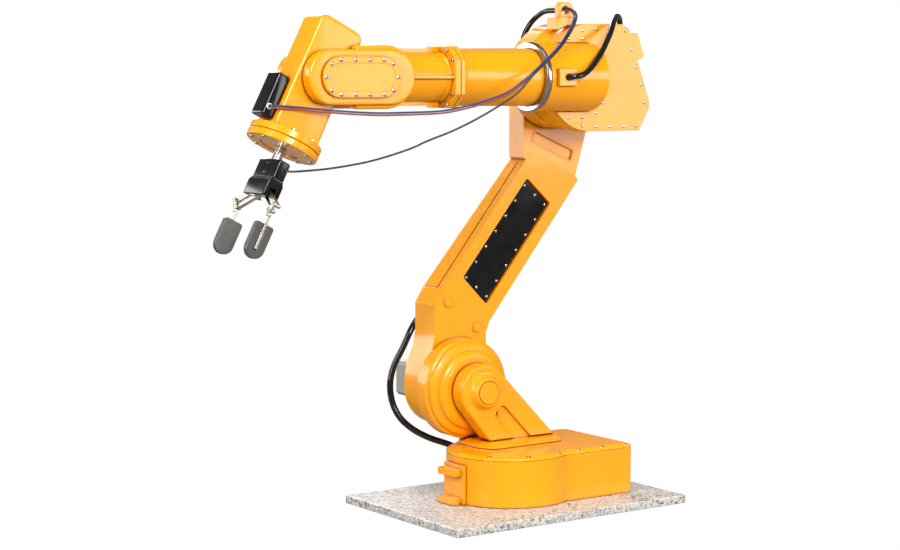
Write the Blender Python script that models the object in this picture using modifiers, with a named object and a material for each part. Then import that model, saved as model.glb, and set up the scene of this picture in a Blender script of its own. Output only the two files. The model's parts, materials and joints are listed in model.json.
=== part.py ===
"""Desktop six-axis jointed robot arm on a granite slab: +X is the forward reach, +Y the hub side, +Z up.

Lengths in the tables below are millimetres; MM turns them into metres. The origin lies on the slab's
underside, under the yaw axis.
"""

import math

import bmesh
import bpy
from mathutils import Matrix, Vector

MM = 0.001
GAP = 0.3

# slab and base
SLAB = (-183.0, 160.0, -119.0, 119.0, 10.0)
BASE_R = 76.0
BASE_HALF = 67.5
BASE_REAR = -142.0
BASE_TOP = 66.5
LID_TOP = 71.5

# axes
SHOULDER = (30.0, 140.0)
ELBOW = (-112.0, 521.5)
CHEEK = (-123.0, 519.5)
WRIST = (271.0, 520.0)
ROLL_Z = 520.0
TILT = math.radians(27.5)
TOOL_U = 4.0
OPEN_DEG = 27.0
PULLEY = 10.5
BELT_X = 196.0
FLANGE_X = 96.0
PULLEY_SMALL = 7.5

# upper arm planes along Y
ARM_NEAR = -66.0
ARM_FAR = -109.0

SEG = 40

PAINT = (0.93, 0.42, 0.02, 1.0)
BLACK = (0.012, 0.012, 0.013, 1.0)
STEEL = (0.55, 0.55, 0.56, 1.0)
GREY = (0.32, 0.31, 0.3, 1.0)
STONE = (0.62, 0.6, 0.57, 1.0)
MOTOR = (0.36, 0.35, 0.34, 1.0)
BRASS = (0.6, 0.45, 0.15, 1.0)
BLUE = (0.02, 0.09, 0.42, 1.0)
RED = (0.5, 0.05, 0.03, 1.0)


def clear_scene():
    for ob in list(bpy.data.objects):
        bpy.data.objects.remove(ob)
    parts = bpy.data.collections.new("parts")
    cutters = bpy.data.collections.new("cutters")
    bpy.context.scene.collection.children.link(parts)
    bpy.context.scene.collection.children.link(cutters)
    cutters.hide_render = True
    return parts, cutters


PARTS, CUTTERS = clear_scene()


def material(name, color, rough, metal):
    mat = bpy.data.materials.new(name)
    mat.use_nodes = True
    bsdf = mat.node_tree.nodes["Principled BSDF"]
    bsdf.inputs["Base Color"].default_value = color
    bsdf.inputs["Roughness"].default_value = rough
    bsdf.inputs["Metallic"].default_value = metal
    return mat


def finish(bm, name, origin, look):
    """Turns a bmesh into an object; look None makes a cutter."""
    bmesh.ops.recalc_face_normals(bm, faces=bm.faces)
    at = Vector(origin) * MM
    bmesh.ops.scale(bm, vec=(MM, MM, MM), verts=bm.verts)
    bmesh.ops.translate(bm, vec=-at, verts=bm.verts)
    mesh = bpy.data.meshes.new(name)
    bm.to_mesh(mesh)
    bm.free()
    ob = bpy.data.objects.new(name, mesh)
    ob.location = at
    if look is None:
        ob.hide_render = True
        ob.display_type = "WIRE"
        CUTTERS.objects.link(ob)
    else:
        color, rough, metal = look
        mesh.materials.append(material(name + "_mat", color, rough, metal))
        PARTS.objects.link(ob)
    return ob


PAINTED = (PAINT, 0.3, 0.0)
BLACKED = (BLACK, 0.25, 0.0)
STEELY = (STEEL, 0.28, 1.0)
RUBBER = (GREY, 0.6, 0.0)
MOTORS = (MOTOR, 0.45, 0.6)


def box(name, lo, hi, look=None, origin=(0, 0, 0)):
    bm = bmesh.new()
    bmesh.ops.create_cube(bm, size=1.0)
    size = [hi[i] - lo[i] for i in range(3)]
    mid = [(hi[i] + lo[i]) / 2 for i in range(3)]
    bmesh.ops.scale(bm, vec=size, verts=bm.verts)
    bmesh.ops.translate(bm, vec=mid, verts=bm.verts)
    return finish(bm, name, origin, look)


def place(axis, uv, w):
    """A point from a plan position uv and a depth w along axis X, Y or Z."""
    if axis == "X":
        return Vector((w, uv[0], uv[1]))
    if axis == "Y":
        return Vector((uv[0], w, uv[1]))
    return Vector((uv[0], uv[1], w))


def prism(name, outline, axis, a, b, look=None, origin=(0, 0, 0)):
    """An outline pushed from depth a to depth b along an axis."""
    bm = bmesh.new()
    verts = [bm.verts.new(place(axis, p, a)) for p in outline]
    base = bm.faces.new(verts)
    pushed = bmesh.ops.extrude_face_region(bm, geom=[base])
    moved = [v for v in pushed["geom"] if isinstance(v, bmesh.types.BMVert)]
    bmesh.ops.translate(bm, vec=place(axis, (0, 0), b - a), verts=moved)
    return finish(bm, name, origin, look)


def tiers(name, rings, look=None):
    """Outlines of equal count at rising heights, joined into one solid."""
    bm = bmesh.new()
    loops = [[bm.verts.new((x, y, z)) for x, y in outline] for outline, z in rings]
    for low, high in zip(loops, loops[1:]):
        for k in range(len(low)):
            j = (k + 1) % len(low)
            bm.faces.new((low[k], low[j], high[j], high[k]))
    bm.faces.new(loops[0])
    bm.faces.new(loops[-1])
    return finish(bm, name, (0, 0, 0), look)


def lathe(name, profile, axis, centre, look=None, origin=None, seg=SEG):
    """Profile of (radius, depth) pairs turned about an axis through centre."""
    bm = bmesh.new()
    verts = [bm.verts.new((r, 0.0, d)) for r, d in profile]
    ends = list(zip(verts, verts[1:]))
    if profile[0][0] > 0:
        ends.append((verts[-1], verts[0]))
    edges = [bm.edges.new(pair) for pair in ends]
    bmesh.ops.spin(bm, geom=verts + edges, axis=(0, 0, 1), cent=(0, 0, 0), steps=seg,
                   angle=2 * math.pi, use_merge=True)
    bmesh.ops.remove_doubles(bm, verts=bm.verts, dist=1e-5)
    if axis == "X":
        bmesh.ops.rotate(bm, matrix=Matrix.Rotation(math.pi / 2, 3, "Y"), verts=bm.verts)
    if axis == "Y":
        bmesh.ops.rotate(bm, matrix=Matrix.Rotation(-math.pi / 2, 3, "X"), verts=bm.verts)
    bmesh.ops.translate(bm, vec=place(axis, centre, 0), verts=bm.verts)
    return finish(bm, name, origin or (0, 0, 0), look)


def rod(name, r, axis, centre, a, b, look=None, origin=None, seg=24, inner=0.0, edge=0.0):
    """A cylinder or ring from depth a to depth b, with a small edge chamfer."""
    profile = [(r - edge, a), (r, a + edge), (r, b - edge), (r - edge, b)]
    if edge == 0.0:
        profile = [(r, a), (r, b)]
    if inner > 0.0:
        profile = [(inner, a)] + profile + [(inner, b)]
    else:
        profile = [(0.0, a)] + profile + [(0.0, b)]
    return lathe(name, profile, axis, centre, look, origin, seg)


def arc(cx, cy, r, start, stop, count):
    """Points on a circle, degrees, ends included."""
    out = []
    for i in range(count + 1):
        t = math.radians(start + (stop - start) * i / count)
        out.append((cx + r * math.cos(t), cy + r * math.sin(t)))
    return out


def rounded(outline, r, count=3):
    """The outline with each corner turned into an arc of about radius r."""
    out = []
    for i, corner in enumerate(outline):
        c = Vector(corner)
        a = (Vector(outline[i - 1]) - c).normalized()
        b = (Vector(outline[(i + 1) % len(outline)]) - c).normalized()
        half = a.angle(b) / 2
        centre = c + (a + b).normalized() * r / math.sin(half)
        start, stop = c + a * r / math.tan(half) - centre, c + b * r / math.tan(half) - centre
        for k in range(count + 1):
            out.append(tuple(centre + start.lerp(stop, k / count).normalized() * r))
    return out


def boolean(ob, other, op):
    mod = ob.modifiers.new(op.lower(), "BOOLEAN")
    mod.operation = op
    mod.solver = "EXACT"
    mod.object = other
    return ob


def cut(ob, *tools):
    for tool in tools:
        boolean(ob, tool, "DIFFERENCE")
    return ob


def add(ob, *tools):
    for tool in tools:
        boolean(ob, tool, "UNION")
    return ob


def bevel(ob, width, segments=2, angle=40.0):
    mod = ob.modifiers.new("bevel", "BEVEL")
    mod.width = width * MM
    mod.segments = segments
    mod.limit_method = "ANGLE"
    mod.angle_limit = math.radians(angle)
    return ob


def turned(ob, angle, pivot):
    """Turns an object's mesh about Y through pivot (X, Z)."""
    centre = Vector((pivot[0], 0, pivot[1])) * MM - ob.location
    turn = Matrix.Translation(centre) @ Matrix.Rotation(angle, 4, "Y") @ Matrix.Translation(-centre)
    ob.data.transform(turn)
    return ob


def moved_origin(ob, origin):
    """Puts an object's own origin on its joint axis."""
    at = Vector(origin) * MM
    ob.data.transform(Matrix.Translation(ob.location - at))
    ob.location = at
    return ob


# ---------------------------------------------------------------- base

def base_outline(shrink=0.0):
    """Round front, straight rear box with a soft waist between them."""
    r = BASE_R - shrink
    h = BASE_HALF - shrink
    rear = BASE_REAR + shrink
    c = 5.0
    lean = math.degrees(math.asin((h - 1.5) / r))
    front = arc(0, 0, r, -180 + lean, 180 - lean, 36)
    side = [(front[-1][0] - 10, h - 0.3), (front[-1][0] - 22, h)]
    rear_part = [(rear + c, h), (rear, h - c), (rear, c - h), (rear + c, -h)]
    back = [(front[0][0] - 22, -h), (front[0][0] - 10, -h + 0.3)]
    return front + side + rear_part + back


def rim_screws():
    """Places of the lid screws on the rim."""
    spots = arc(0, 0, BASE_R - 5.5, -120, 112, 6)
    for x in (-59, -95.5, -132):
        spots.append((x, BASE_HALF - 5.2))
        spots.append((x, 5.2 - BASE_HALF))
    for y in (-38, 0, 38):
        spots.append((BASE_REAR + 5.2, y))
    return spots


def build_slab():
    x0, x1, y0, y1, top = SLAB
    ob = box("base_plate", (x0, y0, 0), (x1, y1, top), (STONE, 0.45, 0.0))
    bevel(ob, 0.8, 1)


def build_base():
    body = prism("base_housing", base_outline(), "Z", 10 + GAP, BASE_TOP, PAINTED)
    hollow = prism("cut_base_hollow", base_outline(6.0), "Z", 17, BASE_TOP + 5)
    cut(body, hollow)
    cut(body, rod("cut_base_hose", 6.2, "Y", (18, 60), -90, -50, seg=20))
    lid = tiers("base_lid", [(base_outline(), BASE_TOP + GAP), (base_outline(), LID_TOP - 3.6),
                             (base_outline(1.6), LID_TOP - 1.9), (base_outline(6.5), LID_TOP)], PAINTED)
    cut(lid, rod("cut_lid_bore", 7.3, "Z", (0, 0), 50, 90, seg=28))
    for i, (x, y) in enumerate(rim_screws()):
        cut(lid, rod("cut_notch_%02d" % i, 3.1, "Z", (x, y), LID_TOP - 2.2, 90, seg=12))


def build_bracket():
    block = box("front_bracket", (60, -24, 10 + GAP), (79, 16, 58), PAINTED)
    up = box("cut_ledge_up", (70, -20, 45.5), (91, 12, 53.5))
    low = box("cut_ledge_low", (70, -20, 10 + GAP), (91, 12, 18.5))
    add(block, up, low)
    cut(block, rod("cut_bracket_round", BASE_R + GAP, "Z", (0, 0), 0, 90, seg=72))
    bevel(block, 1.2, 2)


def build_yaw_drive():
    motor = box("yaw_motor", (-21, -21, 17 + GAP), (21, 21, 44), MOTORS)
    bevel(motor, 3.5, 1)
    gear = rod("yaw_gearbox", 20.0, "Z", (0, 0), 44 + GAP, 54, STEELY, edge=1.0, seg=28)
    cut(gear, rod("cut_yaw_out", 7.3, "Z", (0, 0), 47, 60))
    rod("yaw_bearing", 22.0, "Z", (0, 0), 54 + GAP, BASE_TOP, STEELY, inner=7.3, seg=28)
    gland = rod("base_gland", 8.5, "Y", (18, 60), -80, -72, BLACKED, inner=5.4, edge=0.8, seg=20)
    cut(gland, rod("cut_gland_round", BASE_R + GAP, "Z", (0, 0), 0, 90, seg=72))


# -------------------------------------------------------------- turret

def build_turret():
    low = [(-82, -54), (-72, -68), (26, -68), (38, -52), (38, -6), (28, 10), (-73, 9), (-80, 0)]
    top = [(-78.5, -54), (-70, -64), (22, -64), (29, -52), (29, -18), (22, -7.4), (-76, -7.4), (-78.5, -10)]
    foot = tiers("turret_foot", [(low, LID_TOP + GAP), (low, 73.6), (top, 78)], PAINTED)
    add(foot, rod("cut_spigot", 7.0, "Z", (0, 0), 47.4, 74, seg=24))


def leg_outline():
    """Side view of the slanting leg: round head, two tangents, foot line."""
    cx, cz = SHOULDER
    head = arc(cx, cz, 33.0, -40, 134, 22)
    return head + [(-77.5, 78 + GAP), (21.0, 78 + GAP)]


def build_leg():
    cx, cz = SHOULDER
    leg = prism("turret_leg", leg_outline(), "Y", -30, -8, PAINTED, origin=(0, 0, 78))
    bevel(leg, 2.4, 3, 60)
    panel = [(15, 108), (11, 117), (4, 121.5), (-2, 119), (-41.5, 78.4), (-14, 78.4)]
    add(leg, lathe("cut_hub_boss", [(0, -12), (25, -12), (25, -8.6), (21.5, -7.2), (19, -3), (17.6, 0.2),
                                   (16.6, 1), (14.6, 1), (14.6, -1), (0, -1)], "Y", (cx, cz)))
    cut(leg, prism("cut_leg_panel", panel, "Y", -11, -7))
    add(leg, rod("cut_leg_nub", 3.0, "Y", (7.0, 111.0), -13, -8.6, seg=14, edge=0.6))
    hub = rod("hub_cap", 14.0, "Y", (cx, cz), -1 + GAP, 2.0, PAINTED, edge=0.5, seg=32)
    moved_origin(hub, (cx, 0, cz))


def build_drum():
    cx, cz = SHOULDER
    profile = [(9.5, -65.7), (61.0, -65.7), (61.0, -48), (59.5, -46), (57, -45), (57, -42), (55, -40),
               (48.5, -38), (47.5, -34), (45, -32), (41, -31), (40, -30 - GAP), (9.5, -30 - GAP)]
    drum = lathe("turret_drum", profile, "Y", (cx, cz), PAINTED, seg=SEG)
    pocket = lathe("cut_drum_pocket", [(15, -70), (54, -70), (54, -52), (15, -52)], "Y", (cx, cz))
    rib = box("cut_drum_rib", (cx - 25, -65, 78 + GAP), (cx + 8, -49, 84))
    add(drum, rib)
    cut(drum, pocket)


# ----------------------------------------------------------- upper arm

def build_upper_arm():
    cx, cz = SHOULDER
    low = arc(cx, cz, 50.5, 175, 360, 24) + [(79.5, 152), (76, 170), (67, 190), (63.5, 208), (63.5, 243),
                                             (51, 262), (-19, 217), (-14, 204), (-14, 186)]
    arm = prism("upper_arm", low, "Y", ARM_FAR, ARM_NEAR, PAINTED, origin=(cx, -66, cz))
    add(arm, arm_slope())
    top = [(-72, 420), (-72, 545), (-86, 566), (-134, 566), (-160, 548), (-172, 452), (-153.5, 392), (-130, 385)]
    add(arm, prism("cut_arm_top", top, "Y", -97.2, ARM_NEAR - 0.7))
    bevel(arm, 1.8, 2, 50)
    pocket = [(-77.5, 394.5), (-114.5, 361), (-15, 238.5), (21, 274.5)]
    cut(arm, prism("cut_cover_pocket", rounded(pocket, 3.5), "Y", -73, -60))
    slot = [(-90, 452), (-150, 427), (-146.5, 415), (-85.5, 441)]
    cut(arm, prism("cut_label_slot", rounded(slot, 2.5), "Y", -68.9, -60))
    cut(arm, rod("cut_arm_shaft", 8.6, "Y", (cx, cz), -120, -60, seg=20))
    cut(arm, rod("cut_elbow_shaft", 8.6, "Y", ELBOW, -120, -60, seg=20))
    cut(arm, rod("cut_hose_hole", 4.4, "Z", (-82, -82), 548, 580, seg=20))
    cut(arm, slope_cut("cut_long_groove", 0, 196, 2.0, -81.4, -79.0))
    cut(arm, slope_cut("cut_cross_groove", 0.4, 1.6, 1.0, -130, -80))
    for i, (x, z) in enumerate(((44.0, 245.0), (1.0, 211.0))):
        add(arm, rod("cut_plug_head_%d" % i, 6.0, "Y", (x, z), -70, -63.4, edge=1.0, seg=20))


def slope_cut(name, start, stop, depth, y0, y1):
    """A cutter along the slanting front face, from start to stop along the slope."""
    lean = (-0.631, 0.7755)
    out = (0.7755, 0.631)
    low = [(51 + lean[0] * t - out[0] * depth, 262 + lean[1] * t - out[1] * depth) for t in (start, stop)]
    high = [(51 + lean[0] * t + out[0] * 8, 262 + lean[1] * t + out[1] * 8) for t in (stop, start)]
    return prism(name, low + high, "Y", y0, y1)


def arm_slope():
    """The slanting middle of the arm: the near face is flat, the far face thins towards the elbow."""
    bm = bmesh.new()
    for x, z in ((51, 262), (-82.5, 426), (-152, 396), (-159, 390), (-19, 217)):
        run = (-0.631 * x + 0.775 * z - 171.0) / 212.0
        bm.verts.new((x, ARM_NEAR, z))
        bm.verts.new((x, ARM_FAR + 11.0 * run, z))
    bmesh.ops.convex_hull(bm, input=bm.verts)
    bmesh.ops.dissolve_limit(bm, angle_limit=0.01, verts=bm.verts, edges=bm.edges)
    return finish(bm, "cut_arm_slope", (0, 0, 0), None)


def build_arm_cover():
    outline = [(-77.3, 393.0), (-113, 361), (-15, 240), (19.3, 274.3)]
    cover = prism("arm_cover", rounded(outline, 2.5), "Y", -73 + GAP, -70.5, BLACKED, origin=(-42, -71, 317))
    bevel(cover, 0.8, 1, 50)


def build_shoulder_drive():
    cx, cz = SHOULDER
    back = ARM_FAR
    gear = rod("shoulder_gearbox", 21.0, "Y", (cx, cz), back - 22, back - GAP, STEELY, edge=1.0, seg=32)
    cut(gear, rod("cut_shoulder_gear", 8.4, "Y", (cx, cz), back - 8, back + 5, seg=20))
    body = box("shoulder_motor", (cx - 24, back - 61, cz - 21), (cx + 24, back - 22 - GAP, cz + 23), MOTORS)
    bevel(body, 4.0, 1)
    groove = box("cut_motor_band", (cx - 30, back - 34.6, cz - 30), (cx + 30, back - 33, cz + 30))
    core = box("cut_motor_core", (cx - 23, back - 36, cz - 20), (cx + 23, back - 32, cz + 22))
    cut(groove, core)
    cut(body, groove)
    rod("shoulder_shaft", 8.0, "Y", (cx, cz), back - 7, -32, STEELY, edge=0.8)
    rod("shoulder_bearing", 24.0, "Y", (cx, cz), -65.4, -52.0 - GAP, STEELY, inner=15.0 + GAP, seg=28)
    rod("arm_gland", 8.0, "Y", (51, 223), -116, ARM_FAR - GAP, BLACKED, inner=5.2, edge=0.8, seg=20)


# --------------------------------------------------------------- elbow

def cheek_outline(grow=0.0):
    """Side view of the elbow body: round front, flat top, rear tab and slanting back."""
    ex, ez = CHEEK
    front = arc(ex, ez, 66.0 + grow, -90, 90, 30)
    back = [(-175, 585.5), (-186, 580), (-189, 574.5), (-200, 575), (-211, 546), (-200.5, 541),
            (-220, 490), (-220, 481), (-205, 455), (-202, 453.5)]
    return front + back


def elbow_blend():
    """The casting between the round drum and the flat cheek, with its rear corners."""
    bm = bmesh.new()
    for x, z in arc(ELBOW[0], ELBOW[1], 64.0, 0, 345, 23):
        bm.verts.new((x, -40.0, z))
    for x, z in arc(CHEEK[0], CHEEK[1], 65.4, -90, 90, 14) + [(-175, 584.6), (-199, 541), (-203, 455.5)]:
        bm.verts.new((x, -20.0, z))
    bmesh.ops.convex_hull(bm, input=bm.verts)
    return finish(bm, "cut_elbow_blend", (0, 0, 0), None)


def build_elbow():
    ex, ez = ELBOW
    body = prism("elbow_casting", cheek_outline(), "Y", -22, -4 - GAP, PAINTED, origin=(ex, -66, ez))
    bevel(body, 1.0, 1, 50)
    drum = rod("cut_elbow_drum", 64.8, "Y", ELBOW, ARM_NEAR + GAP, -36, seg=SEG, edge=1.0)
    add(body, elbow_blend())
    shell = rod("cut_roll_shell", 41.5, "X", (0, ROLL_Z), -122, -33.5, seg=SEG, edge=0.8)
    add(body, drum, shell)
    cut(body, rod("cut_roll_bore", 35.5, "X", (0, ROLL_Z), -117, -30, seg=SEG))
    cut(body, rod("cut_elbow_pocket", 50, "Y", ELBOW, -59, -45.5, seg=32))
    cut(body, rod("cut_elbow_gap", 13, "Y", ELBOW, -70, -50, seg=24))
    cut(body, rod("cut_clip_hole_in", 4.1, "Y", (-54, ROLL_Z), 30, 60, seg=20))
    cut(body, rod("cut_hose_entry", 5.2, "Z", (-186, -18), 560, 600, seg=20))
    plate = prism("cheek_plate", cheek_outline(), "Y", -4, 0, PAINTED, origin=(ex, 0, ez))
    cut(plate, prism("cut_plate_round", [(-122 - GAP, ROLL_Z - 41.8), (20, ROLL_Z - 41.8),
                                         (20, ROLL_Z + 41.8), (-122 - GAP, ROLL_Z + 41.8)], "Y", -10, 10))
    bevel(plate, 0.6, 2, 50)


def build_elbow_small():
    ex, ez = ELBOW
    block = box("cable_lug", (-108, -27, 578), (-77, -7, 593), PAINTED, origin=(-92, -17, 590))
    eye = [(-104, 590), (-104, 606), (-99, 611.5), (-86, 611.5), (-82, 606), (-82, 590)]
    add(block, prism("cut_eye", eye, "Y", -18, -9))
    cut(block, rod("cut_eye_hole", 5.2, "Y", (-92, 601.5), -30, 0, seg=24))
    cut(block, rod("cut_lug_drum", 64.2 + GAP, "Y", ELBOW, -80, 0, seg=SEG),
        prism("cut_lug_body", cheek_outline(GAP), "Y", -34.3, 0))
    bevel(block, 0.8, 2)
    clip = box("hose_clip", (-67, 41.2, 510), (-41, 46.5, 530), PAINTED, origin=(-54, 42, 520))
    cut(clip, rod("cut_clip_round", 41.5 + GAP, "X", (0, ROLL_Z), -80, -20, seg=72))
    add(clip, box("cut_clip_pad", (-65, 38.8, 513), (-62, 42, 527)), box("cut_clip_pad2", (-46, 38.8, 513),
                                                                        (-43, 42, 527)))
    cut(clip, rod("cut_clip_round2", 41.5 + GAP, "X", (0, ROLL_Z), -80, -20, seg=72))
    cut(clip, rod("cut_clip_hole", 4.2, "Y", (-54, 520), 30, 60, seg=20))
    bevel(clip, 0.6, 1)
    rod("roll_ring", 42.5, "X", (0, ROLL_Z), -33.5 + GAP, -26.5, STEELY, inner=35.2, edge=1.6, seg=SEG)
    motor = rod("roll_motor", 21.0, "X", (0, ROLL_Z), -116, -82, MOTORS, edge=1.5, seg=32)
    add(motor, rod("cut_roll_out", 4.0, "X", (0, ROLL_Z), -90, -62, seg=20))
    rod("roll_bearing", 35.2, "X", (0, ROLL_Z), -50, -37, STEELY, inner=29.0, seg=32)
    shaft = rod("elbow_shaft", 8.0, "Y", ELBOW, -104, -47, STEELY, edge=0.8)
    add(shaft, rod("cut_elbow_nut", 14.0, "Y", ELBOW, -107, -97.6, edge=1.0, seg=6))
    rod("elbow_gear", 44.0, "Y", ELBOW, -57.0, -48, (BRASS, 0.35, 1.0), inner=8.3, seg=28)


# ------------------------------------------------------------- forearm

def octagon(half, chamfer):
    """Square with cut corners round the roll axis, as (Y, Z) pairs."""
    h = half
    c = chamfer
    return [(-h + c, ROLL_Z - h), (h - c, ROLL_Z - h), (h, ROLL_Z - h + c), (h, ROLL_Z + h - c),
            (h - c, ROLL_Z + h), (-h + c, ROLL_Z + h), (-h, ROLL_Z + h - c), (-h, ROLL_Z - h + c)]


def build_forearm():
    profile = [(0, -60), (28.7, -60), (28.7, -34), (34.8, -30), (33.6, 82), (34.2, 86), (35, 89), (35, 93),
               (0, 93)]
    tube = lathe("forearm_tube", profile, "X", (0, ROLL_Z), PAINTED)
    plate = prism("cut_flange_rear", octagon(36.0, 16.0), "X", 90, FLANGE_X)
    bevel(plate, 0.8, 1)
    add(tube, plate)
    cut(tube, rod("cut_forearm_bore", 24.0, "X", (0, ROLL_Z), -48, 110, seg=28))
    cut(tube, rod("cut_roll_socket", 4.3, "X", (0, ROLL_Z), -90, -40, seg=20))


def obround(x0, x1, r, count=10):
    """A slot outline with round ends at x0 and x1 on the roll height."""
    return arc(x1, ROLL_Z, r, -90, 90, count) + arc(x0, ROLL_Z, r, 90, 270, count)


def build_wrist():
    profile = [(0, FLANGE_X + 4), (29.5, FLANGE_X + 4), (29.5, 106), (28.2, 108), (28.0, 166), (0, 166)]
    body = lathe("wrist_fork", profile, "X", (0, ROLL_Z), PAINTED)
    plate = prism("cut_flange_front", octagon(36.0, 16.0), "X", FLANGE_X + GAP, 104)
    bevel(plate, 0.8, 1)
    block = prism("cut_fork_block", arc(194.5, ROLL_Z, 36, 90, 270, 14) + [(238, ROLL_Z - 36), (238, ROLL_Z + 36)],
                  "Y", -32, 32)
    bevel(block, 3.5, 2, 50)
    near = prism("cut_fork_near", obround(191.6, WRIST[0], 31), "Y", 18, 37)
    far = prism("cut_fork_far", obround(191.6, WRIST[0], 31), "Y", -37, -18)
    bevel(near, 2.4, 2, 50)
    bevel(far, 2.4, 2, 50)
    add(body, plate, block)
    for i, (lo, hi) in enumerate((((100, 24, -1.5), (165, 33.2, 1.5)), ((100, -33.2, -1.5), (165, -24, 1.5)),
                                  ((100, -3, 26), (165, 3, 33)), ((100, -3, -33), (165, 3, -26)),
                                  ((100, -2.6, 30), (119, 2.6, 35.4)), ((100, -2.6, -35.4), (119, 2.6, -30)))):
        add(body, box("cut_fork_rib%d" % i, (lo[0], lo[1], ROLL_Z + lo[2]), (hi[0], hi[1], ROLL_Z + hi[2])))
    add(body, near, far)
    cut(body, box("cut_fork_slot", (181, -22.5, 450), (340, 22.5, 590)))
    cut(body, rod("cut_fork_core", 20, "X", (0, ROLL_Z), 60, 224, seg=32))
    cut(body, prism("cut_belt_pocket", obround(BELT_X + 4, 269, 15), "Y", 27, 42))
    cut(body, prism("cut_far_pocket", obround(BELT_X + 4, 269, 15), "Y", -42, -27))
    cut(body, rod("cut_pitch_bore", 6.3, "Y", WRIST, -50, 50, seg=20))
    cut(body, rod("cut_motor_bore", 4.4, "Y", (BELT_X, ROLL_Z), 10, 40, seg=20))
    for name, a, b in (("wrist_cover_near", 37 + GAP, 41.2), ("wrist_cover_far", -41.2, -37 - GAP)):
        cover = prism(name, obround(206, 263, 23.2), "Y", a, b, PAINTED, origin=(235, a, ROLL_Z))
        bevel(cover, 0.9, 1, 50)
        sign = 1 if a > 0 else -1
        outer = prism("cut_" + name, obround(206, 263, 15.8, 8), "Y", sign * 40.6, sign * 44)
        cut(cover, outer)


def build_wrist_drive():
    shaft = rod("pitch_shaft", 6.0, "Y", WRIST, -35.5, 35.5, STEELY, origin=(WRIST[0], 0, WRIST[1]), seg=20)
    add(shaft, rod("cut_pitch_pulley", PULLEY, "Y", WRIST, 28, 34, seg=24))
    outer = prism("wrist_belt", belt_outline(1.6), "Y", 28.6, 33.4, (BLACK, 0.7, 0.0))
    cut(outer, prism("cut_belt_inner", belt_outline(0.35), "Y", 20, 40))
    motor = rod("wrist_motor", 11.5, "Y", (BELT_X, ROLL_Z), -22.5 + GAP, 18, MOTORS, edge=1.2, seg=24)
    add(motor, rod("cut_wrist_out", 4.0, "Y", (BELT_X, ROLL_Z), 10, 35, seg=16),
        rod("cut_wrist_pulley", PULLEY_SMALL, "Y", (BELT_X, ROLL_Z), 28, 34, seg=20))


def belt_outline(grow):
    """Outside tangent loop round the two wrist pulleys."""
    gap = WRIST[0] - BELT_X
    lean = math.degrees(math.acos((PULLEY - PULLEY_SMALL) / gap))
    return (arc(WRIST[0], ROLL_Z, PULLEY + grow, -lean, lean, 18)
            + arc(BELT_X, ROLL_Z, PULLEY_SMALL + grow, lean, 360 - lean, 14))


# ---------------------------------------------------------------- hand

def hand_point(u, w):
    """Hand plane: u forward across the tool axis, w down along it, from the pitch axis."""
    x = WRIST[0] + u * math.cos(TILT) + w * math.sin(TILT)
    z = WRIST[1] + u * math.sin(TILT) - w * math.cos(TILT)
    return (x, z)


def tilt(ob):
    """Stands a piece drawn upright about the pitch axis along the tilted tool axis."""
    return turned(ob, -TILT, WRIST)


def hand_box(name, u0, u1, y0, y1, w0, w1, look=None):
    """A box drawn upright: u along X, w downward along Z, then tilted."""
    lo = (WRIST[0] + u0, y0, WRIST[1] - w1)
    hi = (WRIST[0] + u1, y1, WRIST[1] - w0)
    return tilt(box(name, lo, hi, look))


def hand_rod(name, r, w0, w1, look=None, **kw):
    """A cylinder about the tool axis."""
    centre = (WRIST[0] + TOOL_U, 0)
    return tilt(rod(name, r, "Z", centre, WRIST[1] - w1, WRIST[1] - w0, look, **kw))


def hand_pin(name, r, y, w, u0, u1, look=None, **kw):
    """A cylinder across the fingers, along u."""
    return tilt(rod(name, r, "X", (y, WRIST[1] - w), WRIST[0] + u0, WRIST[0] + u1, look, **kw))


def hand_prism(name, outline, u0, u1, look=None):
    """An outline of (y, w) pairs pushed along u."""
    flat = [(y, WRIST[1] - w) for y, w in outline]
    return tilt(prism(name, flat, "X", WRIST[0] + u0, WRIST[0] + u1, look))


def hand_side(name, outline, y0, y1, look=None):
    """An outline of (u, w) pairs pushed along Y."""
    flat = [(WRIST[0] + u, WRIST[1] - w) for u, w in outline]
    return tilt(prism(name, flat, "Y", y0, y1, look))


def build_hand():
    outline = arc(25.5, -55, 9.5, -90, -6, 3) + [(35.5, 76), (-27.5, 76)] + arc(-16, -55, 10.0, 186, 270, 3)
    body = hand_side("hand_box", outline, -20.5, 20.5, PAINTED)
    bevel(body, 4.2, 2, 60)
    inner = [(24, -56), (29, -50), (29.5, 70), (-21.5, 70), (-20, -52), (-15, -58)]
    cut(body, hand_side("cut_hand_hollow", inner, -14.5, 14.5))
    cut(body, tilt(rod("cut_hand_mouth", 12.4, "Z", (WRIST[0] + TOOL_U, 0), WRIST[1] - 90, WRIST[1] - 60)))
    add(body, hand_rod("cut_hand_flange", 42.0, 75.0, 83.5, edge=0.8, seg=SEG))
    cut(body, hand_rod("cut_hand_mouth2", 12.4, 60, 90))
    cut(body, rod("cut_hand_pitch", 6.3, "Y", WRIST, -30, 30))
    cap = hand_rod("hand_cap", 42.0, 83.5 + GAP, 92.0, PAINTED, edge=0.8, seg=SEG)
    cut(cap, hand_rod("cut_cap_recess", 26, 91, 100, seg=48))
    cut(cap, hand_rod("cut_cap_bore", 6.0, 70, 100))
    shell = hand_box("sensor_box", 35.6 + GAP, 51.5, -12, 13, 19, 71, BLACKED)
    bevel(shell, 3.0, 3)
    motor = hand_box("tool_motor", TOOL_U - 12, TOOL_U + 12, -12, 12, 30, 66, MOTORS)
    bevel(motor, 2.5, 1)
    for ob in (body, cap, shell, motor):
        moved_origin(ob, (WRIST[0], 0, WRIST[1]))


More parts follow.
